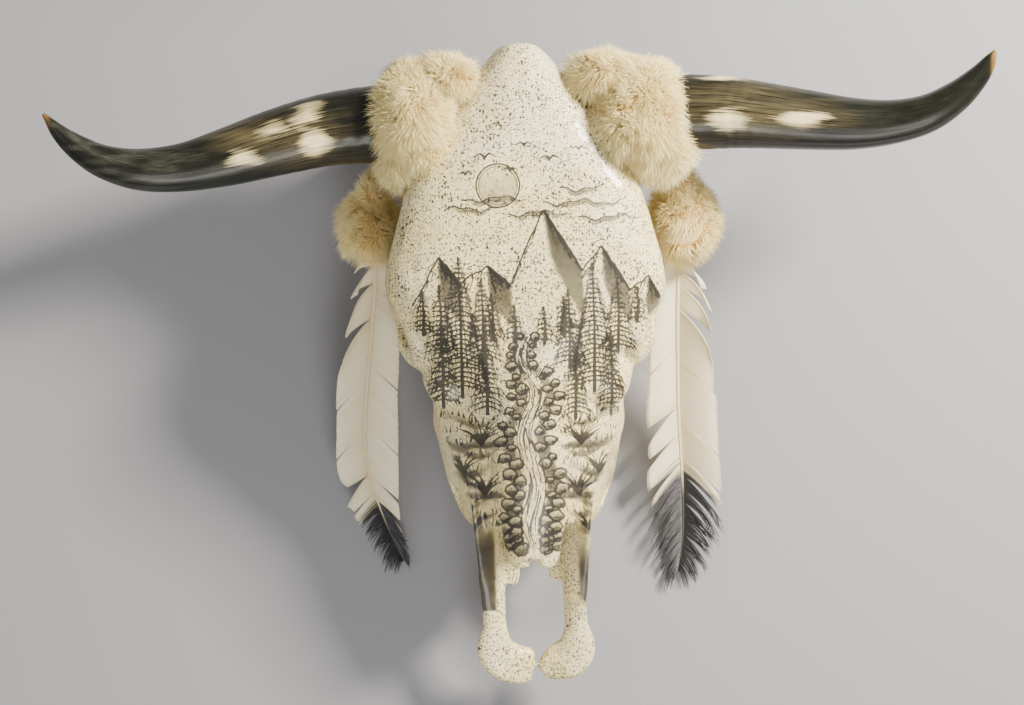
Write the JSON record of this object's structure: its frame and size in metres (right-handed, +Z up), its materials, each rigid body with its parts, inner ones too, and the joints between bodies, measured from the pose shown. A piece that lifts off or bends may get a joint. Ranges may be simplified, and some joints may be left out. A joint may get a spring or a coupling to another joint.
{
  "type": "painted cow skull with fur and feathers",
  "caption": "Cow skull without its lower jaw, lying face up, its bone painted pale and speckled, with long curved horns, fur round the horn roots and a fur puff and feather at each side.",
  "frame": {"origin": "on the floor, under the middle of the whole", "axes": "+Y from the nose to the poll, +Z up out of the face, +X to the animal's left, which is the viewer's right"},
  "size_m": [0.7673, 0.5326, 0.2205],
  "materials": {
    "bone": "painted off-white with fine dark speckles and a clear gloss varnish",
    "horn": "polished dark horn with pale streaks and an amber tip",
    "fur": "cream rabbit fur",
    "hide": "tanned hide",
    "feather": "white vane with a black tip and a cream quill"
  },
  "bodies": {
    "root": {"cranium": "bone", "nasal_left": "bone", "nasal_right": "bone", "maxilla_left": "bone", "maxilla_right": "bone", "incisive_left": "bone", "incisive_right": "bone", "zygomatic_left": "bone", "zygomatic_right": "bone", "horn_left": "horn", "horn_right": "horn", "fur_wrap_left": "fur", "fur_wrap_right": "fur", "thong_left": "hide", "thong_right": "hide", "fur_puff_left": "fur", "fur_puff_right": "fur", "feather_left": "feather", "feather_right": "feather"}
  },
  "joints": []
}
